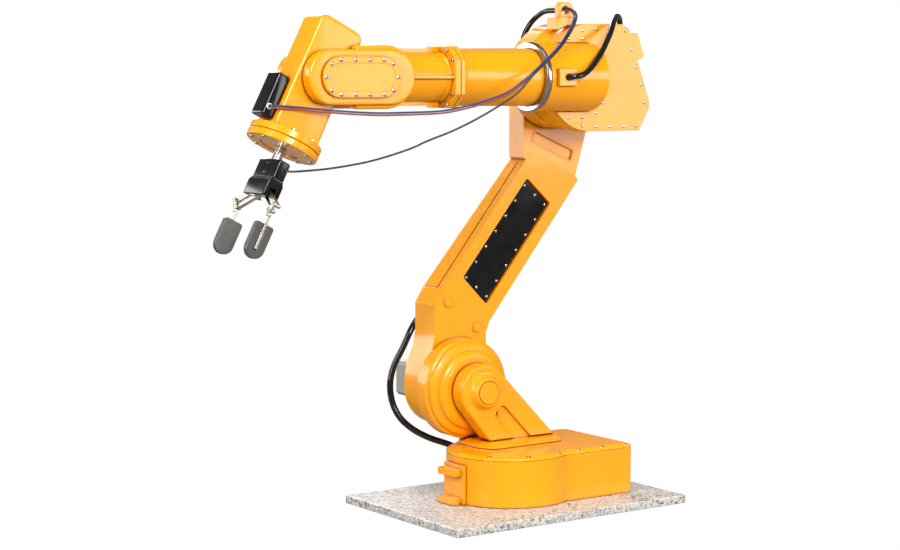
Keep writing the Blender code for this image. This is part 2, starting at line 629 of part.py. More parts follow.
def build_gripper():
    shaft = hand_rod("tool_shaft", 5.6, 66 + GAP, 112, STEELY, edge=0.5)
    upper = hand_box("gripper_upper", -4, 12, -22.5, 22.5, 107, 136, BLACKED)
    bevel(upper, 2.6, 3)
    cut(upper, hand_box("cut_upper_end", -30, 30, -40, 40, 129, 145))
    cut(upper, hand_rod("cut_shaft_hole", 5.6 + GAP, 100, 112.4))
    cut(upper, hand_box("cut_upper_hollow", 0.2, 7.8, -14, 14, 116, 135))
    side = [(-4, 122), (12, 122), (12, 129.5), (15, 134), (15, 152), (-6.5, 152), (-6.5, 134), (-4, 130)]
    lower = hand_side("gripper_lower", side, -22.5, 22.5, BLACKED)
    bevel(lower, 2.0, 3, 25)
    cut(lower, hand_box("cut_lower_end", -30, 30, -40, 40, 110, 129 + GAP))
    slot = [(-30, 140.8), (30, 140.8), (30, 160), (-30, 160)]
    cut(lower, hand_prism("cut_lower_slot", slot, 0.0, 8.6))
    cut(lower, hand_rod("cut_worm_hole", 3.8, 120, 143))
    for sign in (1, -1):
        for start in (A_IN, (A_IN[0] + OFFSET[0], A_IN[1] + OFFSET[1])):
            tag = "cut_pin_%d_%.0f" % (sign, start[1])
            add(lower, hand_pin(tag, 1.2, sign * start[0], start[1], -1.0, 9.6, seg=12))
    hub = (WRIST[0], 0, WRIST[1])
    motor = hand_rod("grip_motor", 3.4, 117, 129, MOTORS, edge=0.4, seg=20)
    add(motor, hand_rod("cut_grip_worm", 1.9, 120, 151, seg=16))
    for ob in (shaft, upper, lower, motor):
        moved_origin(ob, hub)


A_IN = (6.0, 150.0)
LINK = 36.0
OFFSET = (6.5, -6.5)


def link_end(start):
    return (start[0] + LINK * math.cos(math.radians(OPEN_DEG)),
            start[1] + LINK * math.sin(math.radians(OPEN_DEG)))


def link_shape(start, r):
    """Round-ended strip from a pivot to its far end, in the (y, w) plane."""
    end = link_end(start)
    near = arc(start[0], start[1], r, OPEN_DEG + 90, OPEN_DEG + 270, 8)
    far = arc(end[0], end[1], r, OPEN_DEG - 90, OPEN_DEG + 90, 8)
    return near + far


def build_finger(side, sign):
    b_in = (A_IN[0] + OFFSET[0], A_IN[1] + OFFSET[1])
    for tag, start in (("a", A_IN), ("b", b_in)):
        shape = [(sign * y, w) for y, w in link_shape(start, 2.5)]
        ob = hand_prism("link_%s_%s" % (side, tag), shape, 2.0, 6.6, STEELY)
        end = link_end(start)
        cut(ob, hand_pin("cut_in_%s_%s" % (side, tag), 1.5, sign * start[0], start[1], -10, 20, seg=16))
        cut(ob, hand_pin("cut_out_%s_%s" % (side, tag), 1.5, sign * end[0], end[1], -10, 20, seg=16))
        x, z = hand_point(4.3, start[1])
        moved_origin(ob, (x, sign * start[0], z))
    build_finger_end(side, sign, b_in)


def build_finger_end(side, sign, b_in):
    """Carrier plate with two pins, bar down to the pad, and the two-layer pad."""
    a1 = link_end(A_IN)
    b1 = link_end(b_in)
    x, z = hand_point(4.3, a1[1])
    home = (x, sign * a1[0], z)
    shape = [(a1[0] - 3, a1[1] + 2.5), (a1[0] - 2.6, a1[1] - 2), (b1[0] - 1, b1[1] - 3.2), (b1[0] + 2.6, b1[1] - 2),
             (b1[0] + 2.6, b1[1] + 1.5), (a1[0] + 2.5, a1[1] + 3.5)]
    plate = hand_prism("finger_" + side, [(sign * y, w) for y, w in shape], 7.0, 9.4, STEELY)
    for y, w in (a1, b1):
        add(plate, hand_pin("cut_fp_%s_%.0f" % (side, w), 1.2, sign * y, w, 1.6, 8.5, seg=12))
    bar = hand_box("cut_bar_" + side, 2.4, 5.9, *sorted((sign * 35.9, sign * 38.1)), a1[1] + 3.2, 212)
    arm = hand_box("cut_arm_" + side, 2.4, 9.4, *sorted((sign * 35.9, sign * 38.9)), a1[1] + 2.9, a1[1] + 7.0)
    add(plate, arm, bar)
    moved_origin(plate, home)
    face = pad_outline()
    back = hand_side("pad_back_" + side, face, *sorted((sign * 34.7, sign * 38.5)), (GREY, 0.55, 0.0))
    cut(back, hand_box("cut_pad_slot_" + side, 2.0, 6.3, *sorted((sign * 35.7, sign * 42)), 170, 213))
    bevel(back, 0.9, 2, 60)
    pad = hand_side("pad_face_" + side, face, *sorted((sign * 31.0, sign * (34.7 - GAP))), RUBBER)
    bevel(pad, 0.9, 2, 60)
    moved_origin(back, home)
    moved_origin(pad, home)


def pad_outline():
    u0, u1, top, low = -7.8, 15.8, 182.5, 223.0
    r = (u1 - u0) / 2
    mid = (u0 + u1) / 2
    round_end = arc(mid, low - r, r, 0, 180, 14)
    return [(u1 - 2, top), (u1, top + 2)] + round_end + [(u0, top + 2), (u0 + 2, top)]


# -------------------------------------------------------------- cables

def smooth(points, step):
    """A smooth curve through the route points, read every step of its length."""
    pts = [Vector(p) for p in points]
    pts = [pts[0] * 2 - pts[1]] + pts + [pts[-1] * 2 - pts[-2]]
    fine = []
    for i in range(1, len(pts) - 2):
        a, b, c, d = pts[i - 1:i + 3]
        for k in range(24):
            t = k / 24
            fine.append(0.5 * ((2 * b) + (c - a) * t + (2 * a - 5 * b + 4 * c - d) * t * t
                               + (3 * b - a - 3 * c + d) * t * t * t))
    fine.append(pts[-2])
    length = sum((q - p).length for p, q in zip(fine, fine[1:]))
    count = max(4, round(length / step))
    out = [fine[0]]
    want = length / count
    walked = 0.0
    for p, q in zip(fine, fine[1:]):
        seg = (q - p).length
        while walked + seg >= want * len(out) and len(out) < count:
            out.append(p.lerp(q, (want * len(out) - walked) / seg))
        walked += seg
    out.append(fine[-1])
    return out


def wire(name, points, dia, color, sides=3):
    curve = bpy.data.curves.new(name, "CURVE")
    curve.dimensions = "3D"
    curve.bevel_depth = dia / 2 * MM
    curve.bevel_resolution = sides
    curve.use_fill_caps = True
    run = [Vector(points[0])] + smooth(points[1:-1], max(dia * 2.0, 12.0)) + [Vector(points[-1])]
    spline = curve.splines.new("POLY")
    spline.points.add(len(run) - 1)
    for point, co in zip(spline.points, run):
        point.co = (*(co * MM), 1.0)
    curve.materials.append(material(name + "_mat", color, 0.4, 0.0))
    ob = bpy.data.objects.new(name, curve)
    PARTS.objects.link(ob)


HOSE_1 = [(51, -110.5, 223), (51, -118, 223), (52.4, -121.6, 219.6), (55, -122.6, 215), (59, -122.6, 209),
          (65, -122, 200), (72, -126, 182), (80, -130, 165), (85.5, -131, 148),
          (87, -130, 132), (85.5, -127, 116), (81, -121, 101), (73, -115, 90), (61, -109, 80), (45, -100, 71),
          (30, -94, 65.5), (23, -90.4, 62), (19.4, -86.6, 60.5), (18, -82, 60), (18, -73.5, 60)]
HOSE_2 = [(-54, 40.3, 520), (-54, 49.8, 520), (-57.5, 52.8, 520.6), (-63, 53.8, 521.3), (-70, 52.8, 522.7),
          (-76, 51, 524.5), (-90, 46, 532.5),
          (-103, 40, 542), (-117, 33, 553), (-130, 25, 564), (-142.5, 17, 575), (-154, 8, 587), (-168, -3, 595.5),
          (-179, -11, 594), (-185, -16.6, 586.5), (-186, -18, 578), (-186, -18, 570)]
HOSE_3 = [(-82, -82, 551), (-82, -82, 561), (-82.2, -82, 567), (-84.5, -81, 576), (-88.5, -78, 585),
          (-91.5, -73, 592), (-93, -65, 597), (-92.5, -56, 600.5), (-91.5, -46, 602), (-92, -35, 602), (-92, -26, 602)]
SHARED = [(-92, -22, 602), (-91.5, -8, 603.5), (-93, 0, 602.5), (-93, 6, 599), (-92, 10, 594), (-86, 14, 587),
          (-81, 17, 580), (-69, 23, 570), (-55, 30.5, 560), (-38, 38, 549), (-22, 44.5, 540), (6, 51, 522)]
BLUE_END = [(26, 52, 511), (42, 52, 502), (79, 50, 491), (116, 48, 483.5), (139, 46.5, 481), (186, 44.5, 480),
            (222, 43, 480), (269, 34, 483), (299, 27, 486), (318, 24, 487.6), (329, 21.5, 488.5), (336, 18, 489), (339, 14, 489)]
GREY_END = [(24, 54.4, 505), (41, 54, 494), (77, 50, 475), (113, 45, 459), (150, 43, 447), (173, 42, 438.5),
            (222, 38, 426), (270, 33, 419), (304, 28.6, 416.5), (319, 26, 416), (326, 23.5, 417)]


def strand(end, side, drop):
    """One wire of the bundle: the shared run set aside across its own direction, then its own run."""
    run = [Vector(p) for p in SHARED]
    shared = []
    for i, p in enumerate(run):
        ahead = (run[min(i + 1, len(run) - 1)] - run[max(i - 1, 0)]).normalized()
        across = ahead.cross(Vector((0, 0, 1))).normalized()
        below = ahead.cross(across).normalized()
        shared.append(p + across * side + below * drop)
    return shared + [Vector(p) for p in end]


def build_cables():
    wire("hose_shoulder", HOSE_1, 8.0, BLACK)
    wire("hose_elbow", HOSE_2, 7.0, BLACK)
    wire("hose_top", HOSE_3, 7.0, BLACK)
    red_end = [(x, y + 0.6, z - 2.5) for x, y, z in BLUE_END[:-1]] + [(339.8, 14, 487)]
    wire("wire_blue", strand(BLUE_END, 0.0, -1.3), 2.2, BLUE, 1)
    wire("wire_red", strand(red_end, 0.0, 1.4), 2.2, RED, 1)
    wire("wire_grey", strand(GREY_END, -2.6, 0.0), 2.4, GREY, 1)


def main():
    build_slab()
    build_base()
    build_bracket()
    build_yaw_drive()
    build_turret()
    build_leg()
    build_drum()
    build_upper_arm()
    build_arm_cover()
    build_shoulder_drive()
    build_elbow()
    build_elbow_small()
    build_forearm()
    build_wrist()
    build_wrist_drive()
    build_hand()
    build_gripper()
    build_finger("near", 1)
    build_finger("far", -1)
    build_cables()


main()
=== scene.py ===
"""Looks of the desktop jointed robot arm: cables, screws, trim, surfaces, studio and camera."""
import json
import math

import bmesh
import bpy
from mathutils import Matrix, Vector


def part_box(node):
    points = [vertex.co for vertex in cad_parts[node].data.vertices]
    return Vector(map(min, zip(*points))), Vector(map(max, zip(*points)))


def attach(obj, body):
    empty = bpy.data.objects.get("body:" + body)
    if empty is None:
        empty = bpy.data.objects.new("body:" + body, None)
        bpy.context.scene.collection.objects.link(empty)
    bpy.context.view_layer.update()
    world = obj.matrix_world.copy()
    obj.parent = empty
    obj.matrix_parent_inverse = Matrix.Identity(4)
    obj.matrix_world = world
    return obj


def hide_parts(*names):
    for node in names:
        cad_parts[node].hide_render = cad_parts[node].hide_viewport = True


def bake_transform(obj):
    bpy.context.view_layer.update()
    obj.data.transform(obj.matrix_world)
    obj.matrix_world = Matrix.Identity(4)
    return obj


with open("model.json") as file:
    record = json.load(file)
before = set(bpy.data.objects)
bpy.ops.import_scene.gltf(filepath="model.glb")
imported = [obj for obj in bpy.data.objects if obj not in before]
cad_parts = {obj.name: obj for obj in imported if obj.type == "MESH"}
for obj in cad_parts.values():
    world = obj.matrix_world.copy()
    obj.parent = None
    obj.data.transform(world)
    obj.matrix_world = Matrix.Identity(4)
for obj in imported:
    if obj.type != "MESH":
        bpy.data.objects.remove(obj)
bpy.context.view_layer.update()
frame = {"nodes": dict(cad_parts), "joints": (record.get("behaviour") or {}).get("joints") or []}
MM = 0.001
JOINTS = {joint["name"]: joint for joint in frame["joints"]}


def pivot(name):
    """A joint's place in millimetres."""
    return Vector(JOINTS[name]["pos_m"]) / MM


WRIST = pivot("wrist_pitch")
ROLL = pivot("forearm_roll")
DOWN = Vector(JOINTS["tool_roll"]["axis"]).normalized()
ACROSS = Vector((-DOWN.z, 0, DOWN.x))
SIDE = Vector((0, 1, 0))
TOOL_U = 4.0  # the tool axis in hand coordinates


def hand(u, y, w):
    """Hand coordinates: u forward across the tool axis, y sideways, w down along the tool."""
    return WRIST + ACROSS * u + SIDE * (y - WRIST.y) + DOWN * w


# ---------------------------------------------------------------- camera

def build_camera():
    """A long lens from the near front side, a little above the middle of the arm."""
    azimuth = math.radians(144.992)
    height = math.radians(5.517)
    back = Vector((math.sin(azimuth) * math.cos(height), -math.cos(azimuth) * math.cos(height),
                   math.sin(height)))
    data = bpy.data.cameras.new("camera")
    data.lens = 81.87
    data.sensor_width = 36.0
    camera = bpy.data.objects.new("camera", data)
    camera.location = (1.473327, 1.979248, 0.51987)
    camera.rotation_euler = back.to_track_quat("Z", "Y").to_euler()
    bpy.context.scene.collection.objects.link(camera)
    bpy.context.scene.camera = camera


# ------------------------------------------------------------- materials

class Nodes:
    """A material's node tree with short ways to add nodes and read the part's own coordinates."""

    def __init__(self, name, rough=0.4, metal=0.0, **sockets):
        self.material = bpy.data.materials.new(name)
        self.material.use_nodes = True
        self.tree = self.material.node_tree
        self.shader = self.tree.nodes["Principled BSDF"]
        self.shader.inputs["Roughness"].default_value = rough
        self.shader.inputs["Metallic"].default_value = metal
        for key, value in sockets.items():
            self.shader.inputs[key.replace("_", " ")].default_value = value
        self.place = self.tree.nodes.new("ShaderNodeTexCoord").outputs["Object"]

    def add(self, kind, inputs=None, **settings):
        node = self.tree.nodes.new("ShaderNode" + kind)
        for key, value in settings.items():
            setattr(node, key, value)
        for key, value in (inputs or {}).items():
            self.plug(node.inputs[key], value)
        return node

    def plug(self, socket, value):
        if isinstance(value, bpy.types.NodeSocket):
            self.tree.links.new(value, socket)
        else:
            socket.default_value = value

    def noise(self, scale, detail=3.0, rough=0.5, place=None):
        node = self.add("TexNoise", {"Vector": place or self.place, "Scale": scale,
                                     "Detail": detail, "Roughness": rough})
        return node.outputs["Fac"]

    def stretched(self, x, y, z):
        node = self.add("Mapping", {"Vector": self.place, "Scale": (x, y, z)})
        return node.outputs["Vector"]

    def ramp(self, factor, *stops):
        node = self.add("ValToRGB", {"Fac": factor})
        marks = node.color_ramp.elements
        while len(marks) < len(stops):
            marks.new(0.5)
        for mark, (at, color) in zip(marks, stops):
            mark.position = at
            mark.color = (*color, 1.0)
        return node.outputs["Color"]

    def remap(self, factor, low, high, from_low=0.3, from_high=0.7):
        node = self.add("MapRange", {"Value": factor, "From Min": from_low, "From Max": from_high,
                                     "To Min": low, "To Max": high})
        return node.outputs["Result"]

    def painted_crevice_shade(self, color, shade_tone, reach):
        """The colour, going over to a painted shade tone in corners and grooves, wherever ambient
        occlusion finds them.
        """
        closed, clear = 0.38, 0.90
        hollow = self.add("AmbientOcclusion", {"Distance": reach}, samples=16)
        amount = self.remap(hollow.outputs["AO"], 0.0, 1.0, closed, clear)
        mix = self.add("MixRGB", {"Fac": amount, "Color1": (*shade_tone, 1.0), "Color2": color})
        return mix.outputs["Color"]

    def color(self, socket):
        self.plug(self.shader.inputs["Base Color"], socket)

    def rough(self, socket):
        self.plug(self.shader.inputs["Roughness"], socket)

    def bump(self, height, depth, strength=1.0):
        node = self.add("Bump", {"Height": height, "Distance": depth, "Strength": strength})
        self.plug(self.shader.inputs["Normal"], node.outputs["Normal"])


def tint(color, gain):
    """The colour made lighter or darker."""
    return tuple(min(1.0, c * gain) for c in color)


def paint_look():
    """Orange enamel over cast metal: fine orange peel, faint clouds, and painted brown shade in the
    corners.
    """
    n = Nodes("orange_enamel", 0.26, 0.0, Specular_IOR_Level=0.3, Coat_Weight=0.25,
              Coat_Roughness=0.07)
    cloud = n.noise(9.0, 2.0)
    open_face = n.ramp(cloud, (0.3, (0.85, 0.322, 0.0015)), (0.7, (0.89, 0.350, 0.002)))
    # the dark brown mixed in here is painted shade for corners and grooves
    n.color(n.painted_crevice_shade(open_face, (0.30, 0.036, 0.002), 0.0045))
    n.rough(n.remap(n.noise(60.0, 3.0), 0.23, 0.32))
    n.bump(n.noise(700.0, 1.0), 0.00003, 0.5)
    return n.material


def cover_look():
    """Black gloss plastic with faint swirls in its shine."""
    n = Nodes("black_gloss", 0.14, 0.0, Specular_IOR_Level=0.38)
    n.color(n.ramp(n.noise(60.0), (0.3, (0.004, 0.004, 0.0045)), (0.7, (0.008, 0.0078, 0.0076))))
    n.rough(n.remap(n.noise(45.0, 3.0), 0.07, 0.13))
    return n.material


# The last colour is the painted shade tone for corners and where pieces meet.
def steel_look(name="satin_steel", tone=(0.62, 0.61, 0.59), rough=0.26,
               shade_tone=(0.02, 0.018, 0.016)):
    """Machined metal: fine grain lines, and painted shade where pieces meet."""
    n = Nodes(name, rough, 1.0, Anisotropic=0.3)
    grain = n.noise(40.0, 6.0, 0.7, n.stretched(1.0, 18.0, 1.0))
    # the grain colour goes over to painted shade in corners and at seats
    n.color(n.painted_crevice_shade(n.ramp(grain, (0.3, tint(tone, 0.88)), (0.7, tint(tone, 1.1))), shade_tone, 0.0022))
    n.rough(n.remap(grain, rough * 0.75, rough * 1.35))
    n.bump(n.noise(1200.0, 3.0), 0.00002, 0.5)
    return n.material


def granite_look():
    """Pale granite: white and grey crystals with small dark flecks."""
    n = Nodes("granite", 0.35, 0.0, Specular_IOR_Level=0.5)
    crystals = n.add("TexVoronoi", {"Vector": n.place, "Scale": 520.0, "Randomness": 1.0})
    tone = n.ramp(n.add("SeparateColor", {"Color": crystals.outputs["Color"]}).outputs["Red"],
                  (0.0, (0.19, 0.175, 0.165)), (0.22, (0.38, 0.35, 0.33)),
                  (0.45, (0.52, 0.49, 0.455)), (0.8, (0.66, 0.62, 0.575)))
    fleck = n.add("TexVoronoi", {"Vector": n.place, "Scale": 340.0, "Randomness": 1.0})
    dark = n.ramp(n.add("SeparateColor", {"Color": fleck.outputs["Color"]}).outputs["Green"],
                  (0.10, (1, 1, 1)), (0.13, (0, 0, 0)))
    cloud = n.remap(n.noise(35.0, 4.0), 0.25, 1.0)
    amount = n.add("Math", {0: dark, 1: cloud}, operation="MULTIPLY")
    mix = n.add("MixRGB", {"Fac": amount.outputs[0], "Color1": tone,
                           "Color2": (0.06, 0.055, 0.06, 1)})
    n.color(mix.outputs["Color"])
    n.rough(n.remap(n.noise(420.0, 3.0), 0.22, 0.5))
    n.bump(n.noise(700.0, 3.0), 0.00008, 0.6)
    return n.material


def motor_look():
    """Grey anodised housing with a fine grain that runs sideways, along the shoulder motor."""
    n = Nodes("motor_grey", 0.42, 0.6)
    grain = n.noise(55.0, 5.0, 0.6, n.stretched(6.0, 1.0, 6.0))
    n.color(n.ramp(grain, (0.3, (0.34, 0.33, 0.30)), (0.7, (0.46, 0.445, 0.40))))
    n.rough(n.remap(n.noise(240.0), 0.34, 0.52))
    n.bump(grain, 0.00004, 0.5)
    return n.material


def hose_look():
    """Black polyurethane hose: smooth and glossy."""
    n = Nodes("hose_black", 0.12, 0.0)
    n.color(n.ramp(n.noise(40.0), (0.3, (0.004, 0.004, 0.0045)), (0.75, (0.008, 0.0078, 0.0075))))
    n.rough(n.remap(n.noise(70.0, 2.0), 0.09, 0.15))
    return n.material


def wire_look(name, low, high):
    """Coloured lead insulation with a slight sheen."""
    n = Nodes(name, 0.38)
    n.color(n.ramp(n.noise(120.0), (0.3, low), (0.7, high)))
    n.rough(n.remap(n.noise(300.0), 0.3, 0.5))
    n.bump(n.noise(900.0, 2.0), 0.00004, 0.5)
    return n.material


def pad_look(name, low, high, rough):
    """Moulded rubber or plastic: fine matt grain, light scuffs, and near-black painted shade in the
    corners.
    """
    n = Nodes(name, rough)
    scuffed = n.ramp(n.noise(150.0, 5.0, 0.65), (0.3, low), (0.72, high))
    # near-black painted shade in corners and between the layers
    n.color(n.painted_crevice_shade(scuffed, (0.004, 0.004, 0.004), 0.0012))
    n.rough(n.remap(n.noise(60.0, 3.0), rough - 0.1, rough + 0.12))
    n.bump(n.noise(1500.0, 3.0), 0.00006, 0.8)
    return n.material


def brass_look():
    """Cut brass of the gear inside the elbow."""
    n = Nodes("gear_brass", 0.3, 1.0)
    n.color(n.ramp(n.noise(80.0), (0.3, (0.62, 0.43, 0.16)), (0.7, (0.74, 0.55, 0.24))))
    n.rough(n.remap(n.noise(260.0), 0.22, 0.4))
    return n.material


def floor_look():
    """Pale studio paper: seen white, while it throws back only a soft light."""
    n = Nodes("studio_floor", 0.7)
    n.color(n.ramp(n.noise(3.0), (0.3, (0.19, 0.19, 0.19)), (0.7, (0.21, 0.21, 0.21))))
    glow = n.add("Emission", {"Color": (1.0, 1.0, 1.0, 1.0), "Strength": 1.0})
    seen = n.add("LightPath").outputs["Is Camera Ray"]
    both = n.add("MixShader", {0: seen, 1: n.shader.outputs["BSDF"], 2: glow.outputs["Emission"]})
    n.tree.links.new(both.outputs["Shader"], n.tree.nodes["Material Output"].inputs["Surface"])
    return n.material


PAINT = paint_look()
COVER = cover_look()
STEEL = steel_look()
BRIGHT = steel_look("bright_steel", (0.64, 0.625, 0.60), 0.14)
RING = steel_look("ring_metal", (0.36, 0.355, 0.345), 0.24)
# The brown last colour of the link metal is painted shade for its corners.
LINKS = steel_look("link_metal", (0.66, 0.61, 0.54), 0.32, (0.17, 0.125, 0.09))
GRANITE = granite_look()
MOTOR = motor_look()
HOSE = hose_look()
PAD = pad_look("pad_grey", (0.080, 0.075, 0.069), (0.108, 0.102, 0.094), 0.5)
PAD_BACK = pad_look("pad_back_grey", (0.050, 0.048, 0.044), (0.074, 0.070, 0.065), 0.36)
BELT = pad_look("belt_rubber", (0.012, 0.012, 0.012), (0.022, 0.021, 0.02), 0.6)
GLAND = pad_look("gland_black", (0.010, 0.010, 0.011), (0.022, 0.022, 0.023), 0.42)
BRASS = brass_look()
BLUE = wire_look("wire_blue_pvc", (0.012, 0.030, 0.115), (0.022, 0.050, 0.17))
RED = wire_look("wire_red_pvc", (0.23, 0.040, 0.022), (0.32, 0.060, 0.032))
GREY = wire_look("wire_grey_pvc", (0.018, 0.018, 0.019), (0.034, 0.034, 0.036))


# ---------------------------------------------------------------- cables

# Routes in millimetres: the shoulder hose, the elbow hose, the hose at the top, then the leads,
# which share the first stretch from the cable lug.
HOSE_1 = [(51, -110.5, 223), (51, -118, 223), (52.4, -121.6, 219.6), (55, -122.6, 215),
          (59, -122.6, 209), (65, -122, 200), (72, -126, 182), (80, -130, 165), (85.5, -131, 148),
          (87, -130, 132), (85.5, -127, 116), (81, -121, 101), (73, -115, 90), (61, -109, 80),
          (45, -100, 71), (30, -94, 65.5), (23, -90.4, 62), (19.4, -86.6, 60.5), (18, -82, 60),
          (18, -73.5, 60)]
HOSE_2 = [(-54, 40.3, 520), (-54, 49.8, 520), (-57.5, 52.8, 520.6), (-63, 53.8, 521.3),
          (-70, 52.8, 522.7), (-76, 51, 524.5), (-90, 46, 532.5), (-103, 40, 542), (-117, 33, 553),
          (-130, 25, 564), (-142.5, 17, 575), (-154, 8, 587), (-168, -3, 595.5), (-179, -11, 594),
          (-185, -16.6, 586.5), (-186, -18, 578), (-186, -18, 570)]
HOSE_3 = [(-82, -82, 551), (-82, -82, 561), (-82.2, -82, 567), (-84.5, -81, 576),
          (-88.5, -78, 585), (-91.5, -73, 592), (-93, -65, 597), (-92.5, -56, 600.5),
          (-91.5, -46, 602), (-92, -35, 602), (-92, -26, 602)]
SHARED = [(-92, -22, 602), (-91.5, -8, 603.5), (-93, 0, 602.5), (-93, 6, 599), (-92, 10, 594),
          (-86, 14, 587), (-81, 17, 580), (-69, 23, 570), (-55, 30.5, 560), (-38, 38, 549),
          (-22, 44.5, 540), (6, 51, 522)]
BLUE_END = [(26, 52, 511), (42, 52, 502), (79, 50, 491), (116, 48, 483.5), (139, 46.5, 481),
            (186, 44.5, 480), (222, 43, 480), (269, 34, 483), (299, 27, 486), (318, 24, 487.6),
            (329, 21.5, 488.5), (336, 18, 489), (339, 14, 489)]
GREY_END = [(24, 54.4, 505), (41, 54, 494), (77, 50, 475), (113, 45, 459), (150, 43, 447),
            (173, 42, 438.5), (222, 38, 426), (270, 33, 419), (304, 28.6, 416.5), (319, 26, 416),
            (326, 23.5, 417)]
HOSE_DIA, SLIM_HOSE_DIA, LEAD_DIA, GREY_LEAD_DIA = 8.0, 7.0, 2.2, 2.4


def smooth(points, step):
    """A smooth curve through the route points, read about every step of its length."""
    pts = [Vector(p) for p in points]
    pts = [pts[0] * 2 - pts[1]] + pts + [pts[-1] * 2 - pts[-2]]
    fine, parts = [], 24
    for i in range(1, len(pts) - 2):
        a, b, c, d = pts[i - 1:i + 3]
        for k in range(parts):
            t = k / parts
            fine.append(0.5 * ((2 * b) + (c - a) * t + (2 * a - 5 * b + 4 * c - d) * t * t
                               + (3 * b - a - 3 * c + d) * t * t * t))
    fine.append(pts[-2])
    count = max(4, round(route_length(fine) / step))
    want = route_length(fine) / count
    out = [fine[0]]
    walked = 0.0
    for p, q in zip(fine, fine[1:]):
        seg = (q - p).length
        while walked + seg >= want * len(out) and len(out) < count:
            out.append(p.lerp(q, (want * len(out) - walked) / seg))
        walked += seg
    out.append(fine[-1])
    return out


def route_length(points):
    """Length of the line through the points."""
    return sum((q - p).length for p, q in zip(points, points[1:]))


def heading(run, i):
    """Direction of the route at one of its points."""
    return (run[min(i + 1, len(run) - 1)] - run[max(i - 1, 0)]).normalized()


def strand(end, side, drop):
    """One lead of the bundle: the shared run moved aside and down, then its own run."""
    run = [Vector(p) for p in SHARED]
    shared = []
    for i, p in enumerate(run):
        ahead = heading(run, i)
        across = ahead.cross(Vector((0, 0, 1))).normalized()
        below = ahead.cross(across).normalized()
        shared.append(p + across * side + below * drop)
    return shared + [Vector(p) for p in end]


def skin(bm, loops, ends=True):
    """Faces between each loop of corners and the next, and a face on both ends."""
    for low, high in zip(loops, loops[1:]):
        count = len(low)
        for k in range(count):
            bm.faces.new((low[k], low[(k + 1) % count], high[(k + 1) % count], high[k]))
    if ends:
        bm.faces.new(loops[0])
        bm.faces.new(loops[-1])


def tube(name, run, dia, look):
    """A closed round tube along the points."""
    bm = bmesh.new()
    up = Vector((0.3, 0.2, 1.0)).normalized()
    rings, sides = [], 16
    for i, p in enumerate(run):
        ahead = heading(run, i)
        up = (up - ahead * up.dot(ahead)).normalized()
        right = ahead.cross(up)
        ring = []
        for k in range(sides):
            turn = 2 * math.pi * k / sides
            out = right * math.cos(turn) + up * math.sin(turn)
            ring.append(bm.verts.new((p + out * dia / 2) * MM))
        rings.append(ring)
    skin(bm, rings)
    return piece(name, bm, look)


def piece(name, bm, look, smooth_angle=35):
    """Turns a bmesh into an object of the scene, shaded smooth up to an angle."""
    bmesh.ops.recalc_face_normals(bm, faces=bm.faces)
    mesh = bpy.data.meshes.new(name)
    bm.to_mesh(mesh)
    bm.free()
    mesh.shade_smooth()
    mesh.set_sharp_from_angle(angle=math.radians(smooth_angle))
    mesh.materials.append(look)
    ob = bpy.data.objects.new(name, mesh)
    bpy.context.scene.collection.objects.link(ob)
    return ob


def cable(name, run, dia, look, node, bodies, bend=None):
    """A tube along the run; it rides the first body, or, when bend points are given, stays where it
    is built, on no body.
    """
    ob = tube(name, run, dia, look)
    if bend:
        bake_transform(ob)
    else:
        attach(ob, bodies[0])
    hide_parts(node)


def split_run(points, step, *places):
    """The smooth run, its small bumps evened out, cut at the points nearest to the given places."""
    evening_passes = 5
    run = [Vector(points[0])] + smooth(points[1:-1], step) + [Vector(points[-1])]
    for _ in range(evening_passes):
        run[2:-2] = [(run[i - 1] + run[i] * 2 + run[i + 1]) / 4
                     for i in range(2, len(run) - 2)]
    cuts = [0]
    for place in places:
        cuts.append(min(range(len(run)), key=lambda i: (run[i] - Vector(place)).length))
    cuts.append(len(run) - 1)
    return [run[a:b + 1] for a, b in zip(cuts, cuts[1:])]


def build_cables():
    """The three hoses and three leads, each cut where it passes from one joint to the next."""
    low, high = split_run(HOSE_1[::-1], 3.2, (87, -130, 136))
    cable("hose_base", low, HOSE_DIA, HOSE, "hose_shoulder", ("base", "turret"),
          ((20, -88, 61), (84, -129, 122)))
    cable("hose_leg", high, HOSE_DIA, HOSE, "hose_shoulder", ("turret", "upper_arm_body"),
          ((86, -131, 145), (53, -121, 214)))
    cable("hose_bow", split_run(HOSE_2, 3.0)[0], SLIM_HOSE_DIA, HOSE, "hose_elbow", ("elbow",))
    cable("hose_arch", split_run(HOSE_3, 2.6)[0], SLIM_HOSE_DIA, HOSE, "hose_top",
          ("upper_arm_body", "elbow"), ((-82.5, -82, 569), (-92, -40, 602)))
    red_end = [(x, y + 0.6, z - 2.5) for x, y, z in BLUE_END[:-1]] + [(339.8, 14, 487)]
    for name, route, color in (("blue", strand(BLUE_END, 0.0, -1.3), BLUE),
                               ("red", strand(red_end, 0.0, 1.4), RED)):
        rear, front = split_run(route, 3.0, (116, 48, 483.5))
        cable("lead_%s_rear" % name, rear, LEAD_DIA, color, "wire_" + name, ("elbow", "forearm"),
              ((-60, 27, 563), (20, 52, 513)))
        cable("lead_%s_front" % name, front, LEAD_DIA, color, "wire_" + name, ("forearm", "hand"),
              ((215, 43, 480), (320, 24, 487.6)))
    rear, mid, front = split_run(strand(GREY_END, -2.6, 0.0), 3.0, (113, 45, 459), (270, 33, 419))
    cable("lead_grey_rear", rear, GREY_LEAD_DIA, GREY, "wire_grey", ("elbow", "forearm"),
          ((-60, 27, 563), (20, 54, 507)))
    cable("lead_grey_mid", mid, GREY_LEAD_DIA, GREY, "wire_grey", ("forearm", "hand"),
          ((120, 45, 457), (266, 33, 419)))
    cable("lead_grey_front", front, GREY_LEAD_DIA, GREY, "wire_grey", ("hand", "tool"),
          ((272, 33, 419), (322, 25, 416.5)))


build_camera()
build_cables()


# ------------------------------------------------------ dressed CAD nodes

